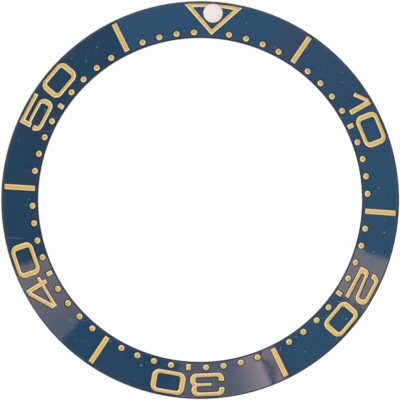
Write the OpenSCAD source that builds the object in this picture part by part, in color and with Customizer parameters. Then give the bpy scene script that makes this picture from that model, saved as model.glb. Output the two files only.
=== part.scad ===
// Watch bezel insert: a ring of glossy blue ceramic whose face slopes down to the rim.
// Polished gold inlays sit in pockets sunk into the face, and a luminous pip marks zero.
// The origin is the centre of the back. +Z comes out of the face and +Y points at zero.
// Minutes run clockwise, seen from above the face.

/* [Ring] */
// Outside diameter
ring_od = 38.0; // [34:0.1:42]
// Width of the ring from the bore to the rim
ring_width = 3.55; // [3.1:0.05:4]
// Height of the outside edge
rim_height = 0.9; // [0.8:0.05:1.3]
// Angle at which the face climbs from the rim to the bore, in degrees
face_slope = 10; // [7:0.5:12]
// Width of the bevel between the face and the rim
rim_bevel = 0.12; // [0.06:0.01:0.13]
// Width of the bevel between the face and the bore
bore_bevel = 0.15; // [0.08:0.01:0.2]
// Width of the two bevels on the back
back_bevel = 0.1; // [0.05:0.01:0.15]

/* [Inlays] */
// Depth of the pockets, square to the face
pocket_depth = 0.25; // [0.2:0.01:0.35]
// Gap between an inlay and the wall of its pocket
pocket_gap = 0.06; // [0.04:0.005:0.065]
// Height of the inlays above the face
inlay_proud = 0.02; // [0.01:0.01:0.04]
// Width of the bevel along the upper edges of an inlay
inlay_bevel = 0.13; // [0.08:0.01:0.14]
// Depth of that bevel, less than its width so that it faces up and catches the light
inlay_bevel_depth = 0.065; // [0.04:0.005:0.08]
// Space between the longest inlays and the rim
rim_margin = 0.24; // [0.22:0.01:0.3]

/* [Minute track] */
// Diameter of a minute dot
dot_diameter = 0.62; // [0.54:0.01:0.66]
// Space from the bore to the circle through the dots' centres
dot_inset = 0.56; // [0.54:0.01:0.58]
// Width of the bars at the odd five minutes
bar_width = 0.54; // [0.4:0.01:0.6]
// Space from the bore to the bars' inner ends
bar_inset = 0.33; // [0.28:0.01:0.4]
// Width of the blocks under the numerals
block_width = 0.48; // [0.4:0.01:0.54]
// Length of the blocks, towards the rim
block_length = 0.66; // [0.58:0.01:0.72]

/* [Numerals] */
// Width of a digit
digit_width = 3.24; // [3.1:0.02:3.32]
// Space between the dots and the numerals
digit_gap = 0.22; // [0.19:0.01:0.25]
// Width of the upright strokes
upright_stroke = 0.52; // [0.44:0.01:0.56]
// Width of the level strokes
level_stroke = 0.42; // [0.34:0.01:0.45]
// Width of the thin strokes in the waist of a digit
waist_stroke = 0.34; // [0.3:0.01:0.38]
// Outer corner radius of a digit
digit_corner = 0.7; // [0.55:0.01:0.74]
// Inner corner radius of a digit
counter_corner = 0.22; // [0.12:0.01:0.24]

/* [Zero mark] */
// Distance between the triangle's two upper corners
triangle_width = 5.56; // [5.2:0.02:5.8]
// Width of the triangle's two sides
triangle_stroke = 0.43; // [0.34:0.01:0.46]
// Width of the triangle's curved upper side
triangle_top_stroke = 0.37; // [0.33:0.01:0.4]
// Space between the triangle and the rim
triangle_margin = 0.21; // [0.2:0.01:0.24]
// Space from the bore to the triangle's tip
tip_inset = 0.28; // [0.26:0.01:0.36]
// Diameter of the pip's head
pip_diameter = 1.84; // [1.7:0.02:1.9]
// Diameter of the pip's plug
plug_diameter = 1.5; // [1.2:0.02:1.54]
// Depth of the pip's plug below the face
plug_depth = 0.45; // [0.36:0.01:0.5]
// Height of the pip's dome above its edge
dome_height = 0.1; // [0.06:0.01:0.14]
// Space from the pip's centre to the rim
pip_inset = 1.14; // [1.12:0.01:1.2]

/* [Hidden] */
$fn = 64;
ring_fn = 180;

// Marks every fifth minute: bars at the odd ones, blocks with numerals at the even ones
BAR_MINUTES = [5, 15, 25, 35, 45, 55];
BLOCK_MINUTES = [10, 20, 30, 40, 50];
DOT_RUNS = [1, 6, 11, 16, 21, 26, 31, 36, 41, 46, 51, 56];
DOTS_IN_A_RUN = 4;
DEGREES_A_MINUTE = 6;
DIGIT_WORDS = ["zero", "one", "two", "three", "four", "five"];

// Places of the five numerals in the lists of blocks and turns
NUMERALS = [0:4];
// Places of a numeral's two digits on the digits' circle, clockwise from its minute mark
TENS_PLACES = [-1.23, -1.82, -1.91, -1.54, -1.82];
ZERO_PLACES = [1.14, 1.94, 1.85, 2.16, 1.97];

rim_radius = ring_od / 2;
bore_radius = rim_radius - ring_width;

// Least height of a digit, with two counters, and the ring's width that the marks then need
least_counter = 0.5;
least_digit = 2 * level_stroke + waist_stroke + 2 * least_counter;
track_width = dot_inset + dot_diameter / 2 + digit_gap;
marks_width = track_width + least_digit * cos(face_slope) + rim_margin;
// The marks have their own sizes where the ring has room, and shrink alike where it is narrower
fit = min(1, ring_width / marks_width);

dot_circle = bore_radius + dot_inset * fit;
mark_outer = rim_radius - rim_margin * fit;
bar_inner = bore_radius + bar_inset * fit;
digit_inner = bore_radius + track_width * fit;
digit_circle = (mark_outer + digit_inner) / 2;
digit_height = drawn(mark_outer - digit_inner);
inlay_height = pocket_depth + inlay_proud;

// The ring's bevels stop short of the pockets
rim_edge = min(rim_bevel, (triangle_margin - pocket_gap) * fit);
bore_edge = min(bore_bevel, (tip_inset - pocket_gap) * fit);

// Reach of a well past the top and the floor of the solid that it cuts
over = 0.1;
// Reach of a pocket above the face, and of a stretch past the corner that trims it
clear = 1;
// Reach of the large blocks that trim a shape to a slanted line
far = 6;

function face_z(radius) = rim_height + (rim_radius - radius) * tan(face_slope);
// Length along the face of a level distance, at the size that the marks are drawn at
function drawn(distance) = distance / cos(face_slope) / fit;
function two_figures(n) = n < 10 ? str("0", n) : str(n);
function tens_node(i) = str("numeral_", BLOCK_MINUTES[i], "_", DIGIT_WORDS[i + 1]);
function zero_node(i) = str("numeral_", BLOCK_MINUTES[i], "_zero");
function bar_node(minute) = str("bar_", two_figures(minute));
function block_node(minute) = str("block_", two_figures(minute));
function dots_node(first) = str("dots_", two_figures(first), "_", two_figures(first + DOTS_IN_A_RUN - 1));

// The shapes of inlays and pockets.
// An outline is drawn once, from blocks that add and wells that take away. The
// $ values below turn it into a bevelled inlay, or into the wider pocket that holds it.
// z = 0 is the pocket's floor, x runs clockwise and y runs out to the rim.

module as_inlay() {
    $grow = 0;
    $top = inlay_height;
    $bevel = inlay_bevel;
    $drop = inlay_bevel_depth;
    translate([0, 0, -pocket_depth]) children();
}

module as_pocket() {
    $grow = pocket_gap;
    $top = pocket_depth + clear;
    $bevel = 0;
    translate([0, 0, -pocket_depth]) children();
}

// Carries a shape to a turn and radius on the sloped face, level with it
module on_face(turn, radius) {
    rotate([0, 0, -turn])
        translate([0, radius, face_z(radius)])
            rotate([-face_slope, 0, 0])
                scale(fit)
                    children();
}

// One edge of a cross-section at distance r from its middle, from the floor up.
// A block's edge leans in at the bevel. A well's edge leans out to the same bevel, and
// goes on by as much again above it.
function edge(r, well) =
    let (low = well ? -over : 0)
    $bevel > 0
        ? [[r, low], [r, $top - $drop], well ? [r + 2 * $bevel, $top + $drop] : [r - $bevel, $top]]
        : [[r, low], [r, well ? $top + over : $top]];

function mirrored(points) = [for (i = [len(points) - 1:-1:0]) [-points[i].x, points[i].y]];

// Round block or well, drawn about its own axis
module round_block(radius, well = false) {
    side = edge(radius + (well ? -$grow : $grow), well);
    rotate_extrude()
        polygon(concat([[0, side[0].y]], side, [[0, side[len(side) - 1].y]]));
}

// Straight block or well, w wide across x, that runs along y for a length
module ridge(w, length, well) {
    side = edge(w / 2, well);
    rotate([90, 0, 0])
        linear_extrude(length, center = true)
            polygon(concat(side, mirrored(side)));
}

// Block or well between two corners, with rounded corners where r is above zero
module block(x0, y0, x1, y1, r = 0, well = false) {
    grow = well ? -$grow : $grow;
    w = x1 - x0 + 2 * grow;
    h = y1 - y0 + 2 * grow;
    corner = r + grow;
    translate([(x0 + x1) / 2, (y0 + y1) / 2, 0])
        if (r > 0) {
            ridge(w, h - 2 * corner, well);
            rotate([0, 0, 90]) ridge(h, w - 2 * corner, well);
            for (x = [-1, 1], y = [-1, 1])
                translate([x * (w / 2 - corner), y * (h / 2 - corner), 0])
                    round_block(r, well);
        } else {
            intersection() {
                ridge(w, h + 2 * clear, well);
                rotate([0, 0, 90]) ridge(h, w + 2 * clear, well);
            }
        }
}

module well(x0, y0, x1, y1, r = 0) {
    block(x0, y0, x1, y1, r, well = true);
}

// Everything to the right of a line that starts at a point and runs at an angle
module right_of_line(point, angle, well = false) {
    translate([point.x, point.y, 0])
        rotate([0, 0, angle])
            block(-far, -far, far, 0, 0, well);
}

// Carries a shape to a height on the digit's middle line and tips it to a slant
module at_slant(angle, y) {
    translate([0, y, 0])
        rotate([0, 0, angle])
            children();
}

// Straight stroke that starts at a point and runs at an angle
module stroke(start, angle, length, width) {
    translate([start.x, start.y, 0])
        rotate([0, 0, angle])
            block(0, -width / 2, length, width / 2);
}

// The digits, each centred on the middle of its height.
// Names: left, right, top and base are a digit's own four edges.
digit_right = digit_width / 2;
digit_left = -digit_right;
digit_top = digit_height / 2;
digit_base = -digit_top;
inner_left = digit_left + upright_stroke;
inner_right = digit_right - upright_stroke;
inner_top = digit_top - level_stroke;
inner_base = digit_base + level_stroke;
waist_top = waist_stroke / 2;
waist_base = -waist_top;

module digit_zero() {
    difference() {
        block(digit_left, digit_base, digit_right, digit_top, digit_corner);
        well(inner_left, inner_base, inner_right, inner_top, counter_corner);
    }
}

// A stem, and a flag that falls away from its top
module digit_one() {
    flag_angle = 36.5;
    flag_stroke = 0.4;
    flag_end = [-1.37, 0.12];
    half = upright_stroke / 2;
    block(-half, digit_base, half, digit_top);
    intersection() {
        block(-far, digit_base, half, digit_top);
        stroke(flag_end, flag_angle, -flag_end.x / cos(flag_angle), flag_stroke);
    }
}

// A bowl open at its lower left, a slanting waist, a bend and a foot.
// The bowl and the bend are round, and swell a little past the waist's two edges.
module digit_two() {
    slant = 5.4;
    waist_middle = -0.14;
    waist_left = digit_left + 0.6;
    waist_right = inner_right - 0.04;
    swell = 0.03;
    // Height on the digit for a distance square to the waist
    rise = 1 / cos(slant);
    function upper_edge(x) = waist_middle + waist_top * rise + x * tan(slant);
    function lower_edge(x) = waist_middle + waist_base * rise + x * tan(slant);
    hook_left = digit_left + 0.08;
    hook_right = hook_left + upright_stroke;
    hook_end = 0.235;
    opening_right = hook_right + 0.6;
    // The part of the bowl's opening that runs above the waist, towards the right
    opening_overlap = 0.3;
    opening_reach = 1.1;
    opening_height = 0.5;
    bowl_run = 0.05;
    bowl_room = digit_top - bowl_run - lower_edge(digit_right);
    bowl_corner = (bowl_room + swell * rise) / (1 + rise - tan(slant));
    counter_middle = inner_right - counter_corner;
    counter_base = upper_edge(counter_middle) + (counter_corner - swell) * rise - counter_corner;
    bend_corner = 0.44 * digit_top;
    bend_middle = digit_left + bend_corner;
    bend_top = upper_edge(bend_middle) - (bend_corner - swell) * rise + bend_corner;
    bend_right = digit_left + 1.2;
    bend_counter_corner = 0.12;
    upright_top = digit_base + 0.7;
    difference() {
        block(hook_left, digit_top - bowl_run - 2 * bowl_corner, digit_right, digit_top, bowl_corner);
        well(hook_right, counter_base, inner_right, inner_top, counter_corner);
        at_slant(slant, waist_middle)
            well(opening_right - opening_overlap, 0, opening_right + opening_reach, opening_height);
        well(hook_right, -far, opening_right, inner_top - counter_corner);
        well(-far, -far, opening_right, hook_end);
    }
    at_slant(slant, waist_middle)
        block(waist_left, waist_base, waist_right, waist_top);
    difference() {
        block(digit_left, digit_base, bend_right, bend_top, bend_corner);
        at_slant(slant, waist_middle)
            well(inner_left, -far, far, waist_base, bend_counter_corner);
    }
    block(digit_left, digit_base, inner_left, upright_top);
    block(digit_left, digit_base, digit_right, inner_base);
}

// Two bowls that meet in a notch at the right and stay open at the left
module digit_three() {
    notch = 0.05;
    bowl_overlap = 0.15;
    bowl_corner = 0.6;
    bowl_counter_corner = 0.18;
    upper_right = digit_right - 0.08;
    waist_left = -0.42;
    hook_end = 0.29;
    difference() {
        union() {
            block(digit_left, notch - bowl_overlap, upper_right, digit_top, bowl_corner);
            block(digit_left, digit_base, digit_right, notch + bowl_overlap, bowl_corner);
        }
        well(inner_left, waist_top, upper_right - upright_stroke, inner_top, bowl_counter_corner);
        well(inner_left, inner_base, inner_right, waist_base, bowl_counter_corner);
        well(-far, -hook_end, waist_left, hook_end);
    }
}

// A stem, a crossbar that passes it, and a slanting side that closes a triangle
module digit_four() {
    slant = 30.5;
    slant_stroke = 0.44;
    stem_left = 0.71;
    stem_right = stem_left + 0.45;
    crossbar_base = digit_base + 0.36;
    crossbar_top = crossbar_base + waist_stroke + 0.02;
    counter_tip = [inner_left, crossbar_top];
    outer_tip = counter_tip + [0, slant_stroke / cos(slant)];
    difference() {
        intersection() {
            block(digit_left, crossbar_base, stem_right, digit_top);
            right_of_line(outer_tip, slant);
        }
        intersection() {
            well(digit_left, crossbar_top, stem_left, far);
            right_of_line(counter_tip, slant, well = true);
        }
    }
    block(stem_left, digit_base, stem_right, digit_top);
    block(digit_left, crossbar_base, digit_right, crossbar_top);
}

// A bar, an upright that bends into the waist, and a bowl that ends in a hook
module digit_five() {
    waist_upper = 0.41;
    waist_left = digit_left + 0.62;
    upright_left = digit_left + 0.08;
    upright_right = upright_left + 0.48;
    upright_end = -0.06;
    bend_angle = 26.5;
    bend_right = digit_left + 1.02;
    bend_upper = [upright_right + 0.02, 0.31];
    bend_lower = [upright_right - 0.14, upright_end];
    hook_end = -0.24;
    hook_corner = 0.16;
    intersection() {
        union() {
            difference() {
                block(digit_left, digit_base, digit_right, waist_upper, digit_corner);
                well(inner_left, inner_base, inner_right, waist_upper - waist_stroke, counter_corner);
                well(-far, hook_end - hook_corner, waist_left, far);
            }
            intersection() {
                block(upright_left, upright_end, bend_right, waist_upper);
                right_of_line(bend_lower, bend_angle + 180);
            }
        }
        right_of_line(bend_upper, bend_angle);
    }
    intersection() {
        block(upright_left, upright_end, upright_right, digit_top);
        right_of_line(bend_lower, bend_angle + 180);
    }
    block(digit_left, hook_end - 3 * hook_corner, inner_left, hook_end, hook_corner);
    block(upright_left, inner_top, digit_right, digit_top);
}

module digit(n) {
    if (n == 0) digit_zero();
    if (n == 1) digit_one();
    if (n == 2) digit_two();
    if (n == 3) digit_three();
    if (n == 4) digit_four();
    if (n == 5) digit_five();
}

// The open triangle, drawn about the point of the face at the middle of the numerals
tip_y = drawn(bore_radius + tip_inset * fit - digit_circle);
arc_radius = rim_radius - triangle_margin * fit;
corner_y = drawn(sqrt(pow(arc_radius, 2) - pow(fit * triangle_width / 2, 2)) - digit_circle);
side_angle = atan2(corner_y - tip_y, triangle_width / 2);

// The area inside the triangle's outline, shrunk by the widths of its strokes
module triangle_area(side_inset, top_inset, well = false) {
    // The rim's circle, seen square to the sloped face, is close to this smaller one
    flat_radius = arc_radius * cos(face_slope) / fit;
    intersection() {
        translate([0, drawn(arc_radius - digit_circle) - flat_radius, 0])
            round_block(flat_radius - top_inset, well, $fn = ring_fn);
        for_both_sides()
            translate([0, tip_y + side_inset / cos(side_angle), 0])
                rotate([0, 0, side_angle])
                    block(-far, 0, far, 2 * far, 0, well);
    }
}

// The part that a shape has in common with its own mirror image
module for_both_sides() {
    intersection() {
        children();
        mirror([1, 0, 0]) children();
    }
}

module triangle_shape() {
    difference() {
        triangle_area(0, 0);
        triangle_area(triangle_stroke, triangle_top_stroke, well = true);
    }
}

module dot_shape() {
    round_block(dot_diameter / 2);
}

module bar_shape() {
    half_length = drawn(mark_outer - bar_inner) / 2;
    block(-bar_width / 2, -half_length, bar_width / 2, half_length);
}

module block_shape() {
    half_length = block_length / 2;
    block(-block_width / 2, -half_length, block_width / 2, half_length);
}

// Where each kind of shape lies on the face

module at_digit(i, places) {
    turn = (places[i] * fit / digit_circle) * (180 / PI);
    on_face(BLOCK_MINUTES[i] * DEGREES_A_MINUTE + turn, digit_circle) children();
}

module at_bar(minute) {
    on_face(minute * DEGREES_A_MINUTE, (mark_outer + bar_inner) / 2) children();
}

module at_dot(minute) {
    on_face(minute * DEGREES_A_MINUTE, dot_circle) children();
}

module at_pip() {
    on_face(0, rim_radius - pip_inset * fit) children();
}

module dot_run(first) {
    for (minute = [first:first + DOTS_IN_A_RUN - 1])
        at_dot(minute) children();
}

// The sub-parts

// Cross-section of the ring, out to the rim: a flat back and a face at a slope
module ring_section() {
    bore_top = bore_radius + bore_edge;
    rim_top = rim_radius - rim_edge;
    polygon([
        [bore_radius + back_bevel, 0],
        [rim_radius - back_bevel, 0],
        [rim_radius, back_bevel],
        [rim_radius, face_z(rim_top) - rim_edge],
        [rim_top, face_z(rim_top)],
        [bore_top, face_z(bore_top)],
        [bore_radius, face_z(bore_top) - bore_edge],
        [bore_radius, back_bevel],
    ]);
}

module pockets() {
    for (i = NUMERALS) {
        at_digit(i, TENS_PLACES) as_pocket() digit(i + 1);
        at_digit(i, ZERO_PLACES) as_pocket() digit(0);
    }
    for (minute = BAR_MINUTES)
        at_bar(minute) as_pocket() bar_shape();
    for (minute = BLOCK_MINUTES)
        at_dot(minute) as_pocket() block_shape();
    for (first = DOT_RUNS)
        dot_run(first) as_pocket() dot_shape();
    on_face(0, digit_circle) as_pocket() triangle_shape();
    at_pip() plug_space();
}

// The blind hole for the pip's plug, which also clips the triangle's upper side
module plug_space() {
    translate([0, 0, -plug_depth])
        cylinder(h = plug_depth + clear, d = plug_diameter + 2 * pocket_gap);
}

module insert_ring() {
    color("#1d4468")
        difference() {
            rotate_extrude($fn = ring_fn) ring_section();
            pockets();
        }
}

module triangle_frame() {
    color("#d9ae58")
        difference() {
            on_face(0, digit_circle) as_inlay() triangle_shape();
            at_pip() plug_space();
        }
}

// A plug in the ring, and a low domed head that rests on the triangle's upper side
module lume_pip() {
    head_radius = pip_diameter / 2;
    dome_radius = (pow(head_radius, 2) + pow(dome_height, 2)) / (2 * dome_height);
    edge_height = 0.08;
    color("#ece8e0")
        at_pip() {
            translate([0, 0, -plug_depth])
                cylinder(h = plug_depth + inlay_proud + edge_height, d = plug_diameter);
            translate([0, 0, inlay_proud])
                intersection() {
                    cylinder(h = edge_height + dome_height, r = head_radius);
                    translate([0, 0, edge_height + dome_height - dome_radius])
                        sphere(r = dome_radius, $fn = ring_fn);
                }
        }
}

module numeral_digit(n, i, places) {
    color("#d9ae58") at_digit(i, places) as_inlay() digit(n);
}

module minute_bar(minute) {
    color("#d9ae58") at_bar(minute) as_inlay() bar_shape();
}

module minute_block(minute) {
    color("#d9ae58") at_dot(minute) as_inlay() block_shape();
}

module minute_dots(first) {
    color("#d9ae58") dot_run(first) as_inlay() dot_shape();
}

insert_ring();
triangle_frame();
lume_pip();
for (i = NUMERALS) numeral_digit(i + 1, i, TENS_PLACES);
for (i = NUMERALS) numeral_digit(0, i, ZERO_PLACES);
for (minute = BAR_MINUTES) minute_bar(minute);
for (minute = BLOCK_MINUTES) minute_block(minute);
for (first = DOT_RUNS) minute_dots(first);
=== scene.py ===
# %% [markdown]
# # A ceramic bezel insert in Blender
# The object is the loose insert of a diver's watch bezel: a glossy dark blue ceramic ring, 38 mm
# across, with gold minute marks let into its sloped face and one pale luminous pip at zero.
# Its shapes come from a packed CAD model, the frame. This lesson gives every piece its finish,
# looks at the part from above, and sets up the plain light that such a part is photographed in.

# %% Load the frame
import math

import bmesh
import bpy
from mathutils import Euler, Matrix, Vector


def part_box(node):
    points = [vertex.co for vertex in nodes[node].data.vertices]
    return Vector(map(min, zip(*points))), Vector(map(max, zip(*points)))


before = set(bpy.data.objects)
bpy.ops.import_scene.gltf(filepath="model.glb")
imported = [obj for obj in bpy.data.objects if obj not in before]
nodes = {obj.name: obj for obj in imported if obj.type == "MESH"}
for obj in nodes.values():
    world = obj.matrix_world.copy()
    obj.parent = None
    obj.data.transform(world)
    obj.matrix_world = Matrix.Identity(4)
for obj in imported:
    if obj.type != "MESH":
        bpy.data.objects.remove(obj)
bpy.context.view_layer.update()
MM = 1000.0


# %% [markdown]
# ## The sizes that the finishes need
# A finish often follows the shape: the bottom of a pocket looks unlike the polished face, and a dot
# shines unlike its own edge. Procedural textures can follow a shape when they know a few of its
# sizes. All of them could be typed, but the frame gives the outer ones exactly. So only the ring's
# width, its slope and the circle of the dots are typed, as the drawing has them. Everything in the
# materials is worked out in millimetres, and in minutes round the dial.

# %% Sizes in millimetres and minutes
low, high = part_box("insert_ring")
pip_low, pip_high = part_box("lume_pip")
RING_WIDTH = 3.55
RIM_HEIGHT = 0.9
FACE_SLOPE = math.radians(10)
RIM_RADIUS = high.y * MM
BORE_RADIUS = RIM_RADIUS - RING_WIDTH
DOT_CIRCLE = BORE_RADIUS + 0.56
PIP_CENTRE = (pip_low + pip_high) / 2 * MM
PIP_RADIUS = (pip_high.x - pip_low.x) / 2 * MM
MINUTE_ANGLE = math.pi / 30
print("rim", round(RIM_RADIUS, 3), "bore", round(BORE_RADIUS, 3), "mm in radius")
print("ring", round((high.z - low.z) * MM, 3), "mm high, pip at", round(PIP_CENTRE.y, 3), "mm")

# %% [markdown]
# ## Shader maths as plain Python
# A node material is a formula drawn with boxes and wires, and a long one is hard to read as boxes.
# One could write it in a shading language instead, but the export couldn't bake that. So one small
# class wraps a node's output. Its operators add the Math nodes, which makes a mask readable as a
# line of arithmetic, and its method `node` adds a node of any other kind. The Mix node has a set of
# sockets for each kind of data, so the ones for colours are found by their numbers.

# %% A wrapper for sockets
COLOUR_A, COLOUR_B, COLOUR_RESULT = 6, 7, 2


class Signal:
    """The output of a node, with operators that add Math nodes."""

    def __init__(self, tree, socket=None):
        self.tree, self.socket = tree, socket

    def node(self, kind, settings=(), inputs=(), output=0):
        """Adds a node: its settings first, then the values or links of its inputs."""
        made = self.tree.nodes.new("ShaderNode" + kind)
        for name, value in dict(settings).items():
            setattr(made, name, value)
        for name, value in dict(inputs).items():
            if isinstance(value, Signal):
                self.tree.links.new(value.socket, made.inputs[name])
            else:
                made.inputs[name].default_value = value
        return Signal(self.tree, made.outputs[output])

    def math(self, operation, *others):
        """A Math node on this signal and, where it takes more, on others."""
        return self.node("Math", {"operation": operation}, dict(enumerate((self, *others))))

    def __add__(self, other):
        return self.math("ADD", other)

    def __sub__(self, other):
        return self.math("SUBTRACT", other)

    def __rsub__(self, other):
        return self.node("Math", {"operation": "SUBTRACT"}, {0: other, 1: self})

    def __mul__(self, other):
        return self.math("MULTIPLY", other)

    def __truediv__(self, other):
        return self.math("DIVIDE", other)

    def __pow__(self, other):
        return self.math("POWER", other)

    __radd__, __rmul__ = __add__, __mul__

    def rise(self, start, end):
        """0 below start and 1 above end, smooth between. With the start above the end it falls."""
        return self.node(
            "MapRange",
            {"interpolation_type": "SMOOTHSTEP"},
            {"Value": self, "From Min": start, "From Max": end},
        )

    def mix(self, low_end, high_end):
        """A colour that goes from low_end to high_end as this signal goes from 0 to 1."""
        pair = {COLOUR_A: low_end, COLOUR_B: high_end}
        pair = {k: v if isinstance(v, Signal) else (*v, 1) for k, v in pair.items()}
        return self.node("Mix", {"data_type": "RGBA"}, {0: self, **pair}, COLOUR_RESULT)


print("a signal can:", [name for name in vars(Signal) if not name.startswith("_")])

# %% [markdown]
# ## Where a point lies on the part
# Every texture here starts from Object coordinates, because they stay with the part when it is lit,
# moved or exported. Straight x and y suit a plank. This part is round, so its finishes want the
# distance from its rim and its bore, a turn in minutes round the dial, and a depth below the
# polished face.


# %% Coordinates of a round part
class Place:
    """The usual measures of a shaded point, in millimetres and minutes."""

    def __init__(self, tree):
        start = Signal(tree)
        coord = start.node("TexCoord", output="Object")
        self.mm = start.node("VectorMath", {"operation": "SCALE"}, {0: coord, "Scale": MM})
        self.normal = start.node("TexCoord", output="Normal")
        axes = (self.mm.node("SeparateXYZ", (), {0: self.mm}, axis) for axis in range(3))
        self.x, self.y, self.z = axes
        self.radius = (self.x * self.x + self.y * self.y) ** 0.5
        self.from_rim = RIM_RADIUS - self.radius
        self.from_bore = self.radius - BORE_RADIUS
        self.minute = self.x.math("ARCTAN2", self.y) / MINUTE_ANGLE
        self.depth = self.from_rim * math.tan(FACE_SLOPE) + RIM_HEIGHT - self.z

    def on_slope(self):
        """1 where the surface lies level with the ring's sloped face, less where it turns away."""
        outward = self.mm.node(
            "CombineXYZ",
            (),
            {
                0: self.x / self.radius * math.sin(FACE_SLOPE),
                1: self.y / self.radius * math.sin(FACE_SLOPE),
                2: math.cos(FACE_SLOPE),
            },
        )
        pair = {0: self.normal, 1: outward}
        return self.mm.node("VectorMath", {"operation": "DOT_PRODUCT"}, pair, "Value")

    def distance(self, point):
        """Millimetres from a fixed point."""
        pair = {0: self.mm, 1: tuple(point)}
        return self.mm.node("VectorMath", {"operation": "DISTANCE"}, pair, "Value")

    def noise(self, scale, detail=2.0, stretch=(1, 1, 1)):
        """Cloudy noise, with about `scale` clouds to a millimetre."""
        place = self.mm.node("VectorMath", {"operation": "MULTIPLY"}, {0: self.mm, 1: stretch})
        inputs = {"Vector": place, "Scale": scale, "Detail": detail}
        return self.mm.node("TexNoise", (), inputs, "Fac")

    def specks(self, scale, size, share):
        """Round specks `size` mm in radius, in this share of cells that are 1 / scale mm wide."""
        cells = {"Vector": self.mm, "Scale": scale}
        distance = self.mm.node("TexVoronoi", (), cells, "Distance")
        colour = self.mm.node("TexVoronoi", (), cells, "Color")
        luck = self.mm.node("SeparateColor", (), {0: colour})
        return distance.rise(size * scale, size * scale * 0.4) * (share - luck).rise(0, 0.01)


print("a place can:", [name for name in vars(Place) if not name.startswith("_")])

# %% [markdown]
# ## Three helpers for materials
# Each finish needs the same three steps: a material with its places, a relief that makes the light
# play on grain, and links into the shader. The relief could be cut into the mesh, but it is only a
# hundredth or two of a millimetre deep, so a Bump node shows it well and leaves the CAD mesh alone.


# %% Material helpers
def new_material(name):
    """A material with only a shader and an output, and the places that its textures start from."""
    material = bpy.data.materials.new(name)
    material.use_nodes = True
    tree = material.node_tree
    return material, tree.nodes["Principled BSDF"], Place(tree)


def relief(height, strength, metres):
    """A normal that follows a height, where a height of 1 stands that many metres tall."""
    inputs = {"Strength": strength, "Distance": metres, "Height": height}
    return height.node("Bump", (), inputs, "Normal")


def feed(shader, **sockets):
    """Sets sockets of the shader: numbers and colours as they are, signals as links."""
    for name, value in sockets.items():
        socket = shader.inputs[name.replace("_", " ")]
        if isinstance(value, Signal):
            value.tree.links.new(value.socket, socket)
        else:
            socket.default_value = value


print("stand-in materials in the frame:", len(bpy.data.materials))

# %% [markdown]
# ## Blue ceramic: the colour
# The ring is zirconia, fired, ground and polished until it is as glossy as glass. A flat dark blue
# with a low roughness would be close, yet it would look like a computer's idea of ceramic. The real
# one is a little cloudy and has a fine grain, so three noises of different size tint the blue.

# %% Cloudy blue
DEEP_BLUE, CLEAR_BLUE = (0.0135, 0.0470, 0.0905), (0.0205, 0.0625, 0.1185)
GRAIN_BLUE, HAZE_VIOLET = (0.0210, 0.0650, 0.1200), (0.0258, 0.0478, 0.0930)
ceramic, shader, at = new_material("blue_ceramic")
cloud = at.noise(0.35, 3.0)
grain = at.noise(4.0, 3.0)
haze = at.noise(0.45, 2.0).rise(0.55, 0.75)
blue = cloud.mix(DEEP_BLUE, CLEAR_BLUE)
blue = (grain.rise(0.3, 0.7) * 0.8).mix(blue, GRAIN_BLUE)
blue = (haze * 0.5).mix(blue, HAZE_VIOLET)
print("ceramic nodes so far:", len(ceramic.node_tree.nodes))

# %% [markdown]
# ## Blue ceramic: dust and hairlines
# A bare insert that has lain in a drawer carries dust, and a few hairline marks from handling. Both
# could be painted by hand. Here the dust is cells with a round speck in some of them, more of them
# where a cloud says that it is dusty, and a hairline is the crest of a noise stretched very long.

# %% Dust
DUST_GREY = (0.36, 0.47, 0.55)
dusty = at.noise(0.25, 1.0).rise(0.35, 0.6)
small_specks = at.specks(2.2, 0.07, 0.20) * (0.25 + dusty * 0.5)
large_specks = at.specks(1.3, 0.10, 0.14) * 0.6
hairline = at.noise(1.0, 1.0, (0.25, 9.0, 1)).rise(0.705, 0.72)
hairline = hairline * at.noise(0.22, 1.0).rise(0.55, 0.6)
dust = small_specks + large_specks + hairline * 0.25
blue = dust.mix(blue, DUST_GREY)
print("ceramic nodes so far:", len(ceramic.node_tree.nodes))

# %% [markdown]
# ## Blue ceramic: what the shape changes
# The colour and polish aren't the same all over. The face turns a paler blue near the rim and the
# bore, and the bevels are rougher and a darker grey. A brown line runs along the rim above the
# triangle. Round the pip's seat the ceramic gets a painted shadow, and the pockets get painted
# shade and a painted reflection of the gold in them, in bronze, metallic and rough. Separate
# materials would need separate faces. Masks that are worked out from a point's place on the part
# need none, and leave the CAD mesh as it is.

# %% Edges, seats and pockets
EDGE_PALE_BLUE, BEVEL_GREY = (0.034, 0.066, 0.108), (0.034, 0.046, 0.070)
LIP_BROWN, PIP_SHADOW_PLUM = (0.110, 0.070, 0.038), (0.090, 0.055, 0.050)
POCKET_SHADE_AND_GLINT = (0.200, 0.105, 0.040)
near_face = at.depth.rise(0.17, 0.13)
# The face turns a paler blue within half a millimetre of the rim and of the bore.
near_edges = at.from_rim.rise(0.50, 0.15) + at.from_bore.rise(0.45, 0.15)
on_bevel = at.on_slope().rise(0.97, 0.9) * at.z.rise(0.5, 0.6)
# A brown line along the rim above the triangle.
lip = at.from_rim.rise(0.22, 0.16) * (at.minute * at.minute).rise(2.7, 1.6)
# Painted shadow: a plum-brown ring on the ceramic round the pip.
pip_shadow = at.distance(PIP_CENTRE).rise(PIP_RADIUS + 0.16, PIP_RADIUS + 0.06)
in_pocket = at.depth.rise(0.012, 0.05) * at.z.rise(0.45, 0.5)
in_pocket = in_pocket * at.from_bore.rise(0.16, 0.20) * at.from_rim.rise(0.11, 0.14)
blue = (near_edges * near_face).mix(blue, EDGE_PALE_BLUE)
blue = (on_bevel * 0.6).mix(blue, BEVEL_GREY)
blue = (lip * near_face * 0.8).mix(blue, LIP_BROWN)
blue = (pip_shadow * 0.8).mix(blue, PIP_SHADOW_PLUM)
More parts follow.
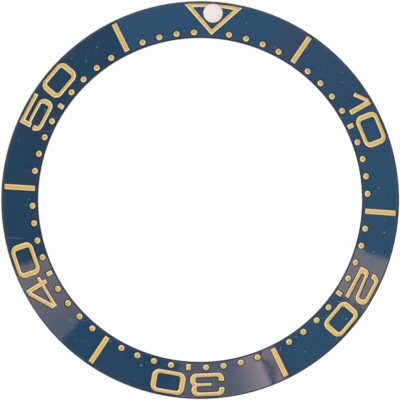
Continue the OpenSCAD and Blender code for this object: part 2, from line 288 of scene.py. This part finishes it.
# Painted shade and a painted reflection of the gold, in bronze, on the pockets' floors and walls.
blue = in_pocket.mix(blue, POCKET_SHADE_AND_GLINT)
print("ceramic nodes so far:", len(ceramic.node_tree.nodes))

# %% [markdown]
# ## Blue ceramic: the back
# The flat back is glued into the bezel, so nobody polishes it: it is ground flat on a lap and stays
# matt, with a paler, finely scratched blue. It could be a second material, but the ring is one
# piece, and its height alone tells where the back is. Two noises, one even and one stretched along
# the scratches, give the ground look.

# %% The lapped back
LAPPED_DARK, LAPPED_PALE = (0.022, 0.046, 0.080), (0.040, 0.074, 0.118)
on_back = at.z.rise(0.06, 0.02)
lapping = at.noise(1.6, 4.0) * 0.5 + at.noise(1.0, 3.0, (0.5, 7.0, 1)) * 0.5
blue = (on_back * 0.85).mix(blue, lapping.rise(0.35, 0.65).mix(LAPPED_DARK, LAPPED_PALE))
print("ceramic nodes so far:", len(ceramic.node_tree.nodes))

# %% [markdown]
# ## Blue ceramic: the gloss
# Polished zirconia is a stronger mirror than glass: its index of refraction is above 2. With that
# value the white tent round the part turns its sides grey, where a real one stays blue because a
# room is darker than a tent. So the index is 1.6, and the cards in the tent are that much brighter.

# %% Roughness and relief
CERAMIC_INDEX = 1.6
POLISHED = 0.03
roughness = POLISHED + grain * 0.02 + dust * 0.4
roughness = roughness + on_bevel * 0.1 + in_pocket * 0.4 + on_back * 0.35
height = lapping * on_back * 0.35 + grain * (1 - on_back) * 0.04 + dust * 0.6
feed(shader, Base_Color=blue, Roughness=roughness, Metallic=in_pocket, IOR=CERAMIC_INDEX)
feed(shader, Normal=relief(height, 0.25, 0.00002))
print("ceramic nodes:", len(ceramic.node_tree.nodes))

# %% [markdown]
# ## Gold marks: where tops, edges and feet are
# The marks are metal, let into the pockets and lapped level with the ring, so their tops have a
# satin grain and their edges are rounded. The edges are painted lighter, as a painted highlight,
# and the foot of each edge darker, as painted shade. One could give tops and edges two materials,
# but the edge is a hair wide and the metal is the same. Instead the material compares a point's own
# normal
# with that of the sloped face: where they part, the point is on an edge. A dot's middle gets
# painted shade, so it is found too, as the places near a whole minute that isn't a multiple of
# five.

# %% Masks for the marks
gold, shader, at = new_material("satin_gold")


def off_whole(signal):
    """How far a signal is from the nearest whole number."""
    return (signal + 0.5).math("FRACT") - 0.5


across = off_whole(at.minute) * (DOT_CIRCLE * MINUTE_ANGLE)
along = at.radius - DOT_CIRCLE
off_dot = (across * across + along * along) ** 0.5
off_five = off_whole(at.minute / 5)
# A dot's middle gets painted shade.
dot_middle_shade = off_dot.rise(0.20, 0.06) * (off_five * off_five).rise(0.008, 0.012)
on_edge = at.on_slope().rise(0.985, 0.90)
# The foot of each edge gets painted shade.
shaded_foot = at.depth.rise(0.015, 0.045)
print("gold nodes so far:", len(gold.node_tree.nodes))

# %% [markdown]
# ## Gold marks: the metal
# The gold is satin: it shows no sharp mirror images, only broad ones, so most of its tone is its
# own. One gold would look flat, so a slow noise drifts it between a redder and a yellower tone and
# a quick one adds the satin. The fine relief is a grain crossed by rings, as lapping leaves it.

# %% Gold
RED_GOLD, YELLOW_GOLD = (0.82, 0.515, 0.120), (0.91, 0.60, 0.165)
SATIN_GOLD, DOT_SHADE_GOLD = (0.97, 0.71, 0.29), (0.76, 0.45, 0.11)
EDGE_HIGHLIGHT_GOLD, FOOT_SHADE_BROWN = (1.0, 0.84, 0.50), (0.10, 0.055, 0.025)
satin = at.noise(7.0, 3.0)
metal = at.noise(0.6, 2.0).mix(RED_GOLD, YELLOW_GOLD)
metal = (satin * 0.5).mix(metal, SATIN_GOLD)
metal = (dot_middle_shade * 0.7).mix(metal, DOT_SHADE_GOLD)
# Painted highlight on the rounded edges.
metal = on_edge.mix(metal, EDGE_HIGHLIGHT_GOLD)
# Painted shade at the foot of each edge.
metal = (shaded_foot * 0.9).mix(metal, FOOT_SHADE_BROWN)
roughness = 0.46 + satin * 0.10 - on_edge * 0.06
rings = (at.radius * 55 + at.noise(2.0) * 4).math("SINE")
height = at.noise(6.0, 3.0) * 0.3 + rings * 0.1
feed(shader, Base_Color=metal, Roughness=roughness, Metallic=1.0)
feed(shader, Normal=relief(height, 0.3, 0.00001))
print("gold nodes:", len(gold.node_tree.nodes))

# %% [markdown]
# ## The luminous pip
# The pip is a plug of luminous powder in clear resin: matt, off-white, faintly grainy, and a little
# warmer and darker towards its rim. A plain white would blow out and hide the grain.

# %% Lume
POWDER_WARM, POWDER_PALE = (0.85, 0.81, 0.75), (0.90, 0.88, 0.84)
WARM_RIM = (0.90, 0.79, 0.67)
lume, shader, at = new_material("lume")
powder = at.noise(14.0, 3.0)
to_rim = at.distance(PIP_CENTRE).rise(PIP_RADIUS * 0.62, PIP_RADIUS)
pale = to_rim.mix((powder * 0.8).mix(POWDER_WARM, POWDER_PALE), WARM_RIM)
feed(shader, Base_Color=pale, Roughness=0.55 + powder * 0.1, Normal=relief(powder, 0.3, 0.00001))
feed(shader, Coat_Weight=0.15, Coat_Roughness=0.25)
print("lume nodes:", len(lume.node_tree.nodes))

# %% [markdown]
# ## Dressing the pieces
# The pieces come with plain stand-in materials, named after what each is made of. They could be
# dressed one by one, but there are three dozen, so the stand-in's name picks the finish.

# %% Give every node its finish
FINISHES = {"ceramic": ceramic, "gold": gold, "lume": lume}
for piece in nodes.values():
    slot = piece.material_slots[0]
    slot.material = FINISHES[slot.material.name.split(".")[0]]
print({material.name: material.users for material in FINISHES.values()})

# %% [markdown]
# ## Camera
# The part is seen through a long lens from almost straight above. It lies turned a little
# clockwise, and the camera leans a degree or so off the part's axis, towards the bottom of the
# picture. An orthographic camera would keep the ring as round, but a long lens also keeps the
# slight perspective of a real one.

# %% Camera above the part
LEAN_DOWN, LEAN_RIGHT, TURN = 1.4, 0.7, 3.95
OFF_CENTRE, DISTANCE, LENS = (-0.00002, 0.000015), 1.0, 942
turned = Euler([math.radians(angle) for angle in (LEAN_DOWN, LEAN_RIGHT, TURN)]).to_matrix()
camera_data = bpy.data.cameras.new("camera")
camera_data.lens = LENS
camera_data.clip_start, camera_data.clip_end = 0.05, 10
camera = bpy.data.objects.new("camera", camera_data)
camera.location = turned @ Vector((*OFF_CENTRE, DISTANCE))
camera.rotation_euler = turned.to_euler()
bpy.context.scene.collection.objects.link(camera)
bpy.context.scene.camera = camera
print("camera at", [round(value, 4) for value in camera.location], "m, lens", camera_data.lens)

# %% [markdown]
# ## Floor
# The ground is pure white. More light on a pale floor would get there, but would wash out the part
# too. Here the floor is a pale matt sheet that gives off white to rays from the camera and to
# reflections, and keeps a share of its own shading near the ring, so the part still casts its soft
# shadow. It lies a hair below the part's flat back, because two faces in one plane flicker, and
# from underneath it is clear, so that the back can be looked at.

# %% A sheet under the part
FLOOR_RADIUS, FLOOR_GAP = 0.05, 0.00002
sheet = bmesh.new()
bmesh.ops.create_circle(sheet, cap_ends=True, segments=64, radius=FLOOR_RADIUS)
bmesh.ops.translate(sheet, verts=sheet.verts, vec=(0, 0, -FLOOR_GAP))
floor_mesh = bpy.data.meshes.new("floor")
sheet.to_mesh(floor_mesh)
sheet.free()
floor = bpy.data.objects.new("floor", floor_mesh)
bpy.context.scene.collection.objects.link(floor)
print("floor", FLOOR_RADIUS * 2 * MM, "mm across and", FLOOR_GAP * MM, "mm below the part")

# %% Its white paper
SHADOW_SHARE = 0.035
paper, shader, at = new_material("white_paper")
feed(shader, Base_Color=(0.82, 0.82, 0.82, 1), Roughness=0.9)
camera_ray, glossy_ray, through_ray, ray_length = (
    at.mm.node("LightPath", output=name)
    for name in ("Is Camera Ray", "Is Glossy Ray", "Is Transmission Ray", "Ray Length")
)
seen = camera_ray.math("MAXIMUM", glossy_ray).math("MAXIMUM", through_ray)
by_the_ring = at.radius.rise(6, 15) * at.radius.rise(42, 20)
share = seen * (1 - by_the_ring * SHADOW_SHARE)
shaded = Signal(paper.node_tree, shader.outputs[0])
glow = at.mm.node("Emission", (), {"Color": (1, 1, 1, 1), "Strength": 1.0})
white = at.mm.node("MixShader", (), {0: share, 1: shaded, 2: glow})
under = at.mm.node("NewGeometry", output="Backfacing")
under = under.math("MAXIMUM", ray_length.math("LESS_THAN", 0.0001))
clear = at.mm.node("BsdfTransparent")
both = at.mm.node("MixShader", (), {0: under, 1: white, 2: clear})
paper.node_tree.links.new(both.socket, paper.node_tree.nodes["Material Output"].inputs[0])
floor_mesh.materials.append(paper)
print("paper nodes:", len(paper.node_tree.nodes))

# %% [markdown]
# ## Light: the tent
# A glossy ring is a mirror: what it reflects matters more than how brightly it is lit. The part
# lies in a white tent with an opening overhead for the camera. The sloped face looks up into that
# opening, so it stays deep blue, and the tent's walls light the gold. Pale cards at the edge of the
# opening give the soft grey panes on the right and along the bottom. Lamps could stand in for each
# wall, but the world shader can hold the whole tent as one formula. A card's place is a stretch of
# minutes, because a point of the sloped face mirrors what stands outwards of it at its own minute.

# %% Directions in the tent
world = bpy.data.worlds.new("tent")
bpy.context.scene.world = world
world.use_nodes = True
tree = world.node_tree
start = Signal(tree)
aim = start.node("TexCoord", output="Generated")
aim_x, aim_y, aim_z = (start.node("SeparateXYZ", (), {0: aim}, n) for n in range(3))
eye = turned @ Vector((0, 0, 1))
minute = (aim_x + eye.x).math("ARCTAN2", aim_y + eye.y) / MINUTE_ANGLE
minute = minute.math("WRAP", 60.0, 0.0)


def pane(first, last, soft=0.1):
    """1 between two minutes of the dial, 0 elsewhere."""
    return minute.rise(first - soft, first + soft) * minute.rise(last + soft, last - soft)


def fade(first, last, colour, other):
    """A colour that turns into another between two minutes of the dial."""
    return minute.rise(first, last).mix(colour, other)


print("the camera's side is", [round(value, 4) for value in eye])

# %% Cards round the opening
opening = (0.05, 0.05, 0.05)
blue_sky = (0.21, 0.50, 1.02)
for where, colour in (
    (pane(8.5, 24.7, 0.8), (0.21, 0.50, 0.81)),
    (pane(55.2, 61), blue_sky),
    (pane(-1, 3.8), blue_sky),
    (pane(3.5, 8.5, 0.6), fade(4, 6, (0.38, 0.36, 0.52), (0.26, 0.40, 0.73))),
    (pane(30.4, 37), (0.09, 0.17, 0.38)),
    (pane(17.28, 20.0), fade(17.5, 19, (2.49, 2.06, 1.99), (3.08, 2.25, 1.80))),
    (pane(24.95, 30.5), fade(26.0, 27.8, (3.79, 2.84, 2.49), (1.35, 1.09, 1.07))),
    (pane(25.8, 26.15), (4.74, 3.37, 3.03)),
    (pane(24.95, 25.8), (3.40, 2.25, 2.00)),
    (pane(25.57, 25.83), (0.40, 0.25, 0.45)),
    (pane(36.8, 41.0), fade(37, 40, (1.35, 1.14, 1.19), (2.49, 1.68, 1.28))),
):
    opening = where.mix(opening, colour)
print("world nodes so far:", len(tree.nodes))

# %% [markdown]
# ## Light: walls and ground
# The walls start 26 degrees from straight up. They are brighter on the side of the window, so the
# gold isn't lit alike all round. Near the ground they end in the dark of the room, which keeps the
# low sides of the ring deep, and below them the bench throws pale light back. An even white would
# be simpler, but a metal that mirrors an even white has no shape.


# %% Walls
def beyond(angle, end):
    """0 up to an angle from straight up and 1 past the end, in degrees."""
    return aim_z.rise(math.cos(math.radians(angle)), math.cos(math.radians(end)))


SHADED_WALL, LIT_WALL = (0.86, 0.86, 0.86), (1.16, 1.16, 1.16)
ROOM, BENCH = (0.02, 0.03, 0.05), (0.85, 0.85, 0.85)
window_side = (aim_y * 0.76 - aim_x * 0.65).rise(-1.0, 1.0)
light = beyond(26, 30).mix(opening, window_side.mix(SHADED_WALL, LIT_WALL))
light = beyond(62, 78).mix(light, ROOM)
light = aim_z.rise(-0.08, -0.16).mix(light, BENCH)
light = start.node("LightPath", output="Is Camera Ray").mix(light, (1, 1, 1))
tree.links.new(light.socket, tree.nodes["Background"].inputs["Color"])
print("world nodes:", len(tree.nodes))

# %% [markdown]
# ## Light: a soft key lamp
# A big round lamp on the window's side models the bevels and throws the soft shadow. A lamp that
# shows in the polished face would be a hard white disc, so it is hidden from mirror images.

# %% Key lamp
KEY_PLACE, KEY_SIZE, KEY_POWER = Vector((-0.60, 0.70, 0.60)), 1.0, 3.0
key = bpy.data.lights.new("key", "AREA")
key.shape, key.size, key.energy = "DISK", KEY_SIZE, KEY_POWER
lamp = bpy.data.objects.new("key", key)
lamp.location = KEY_PLACE
lamp.rotation_mode = "QUATERNION"
lamp.rotation_quaternion = KEY_PLACE.to_track_quat("Z", "Y")
lamp.visible_camera = lamp.visible_glossy = False
bpy.context.scene.collection.objects.link(lamp)
print("key lamp", KEY_SIZE, "m across,", KEY_POWER, "W,", round(KEY_PLACE.length, 2), "m away")

# %% [markdown]
# ## The colour view
# The Standard view shows colours about as they are written, where a film-like view would dull them.

# %% Finish
bpy.context.scene.view_settings.view_transform = "Standard"
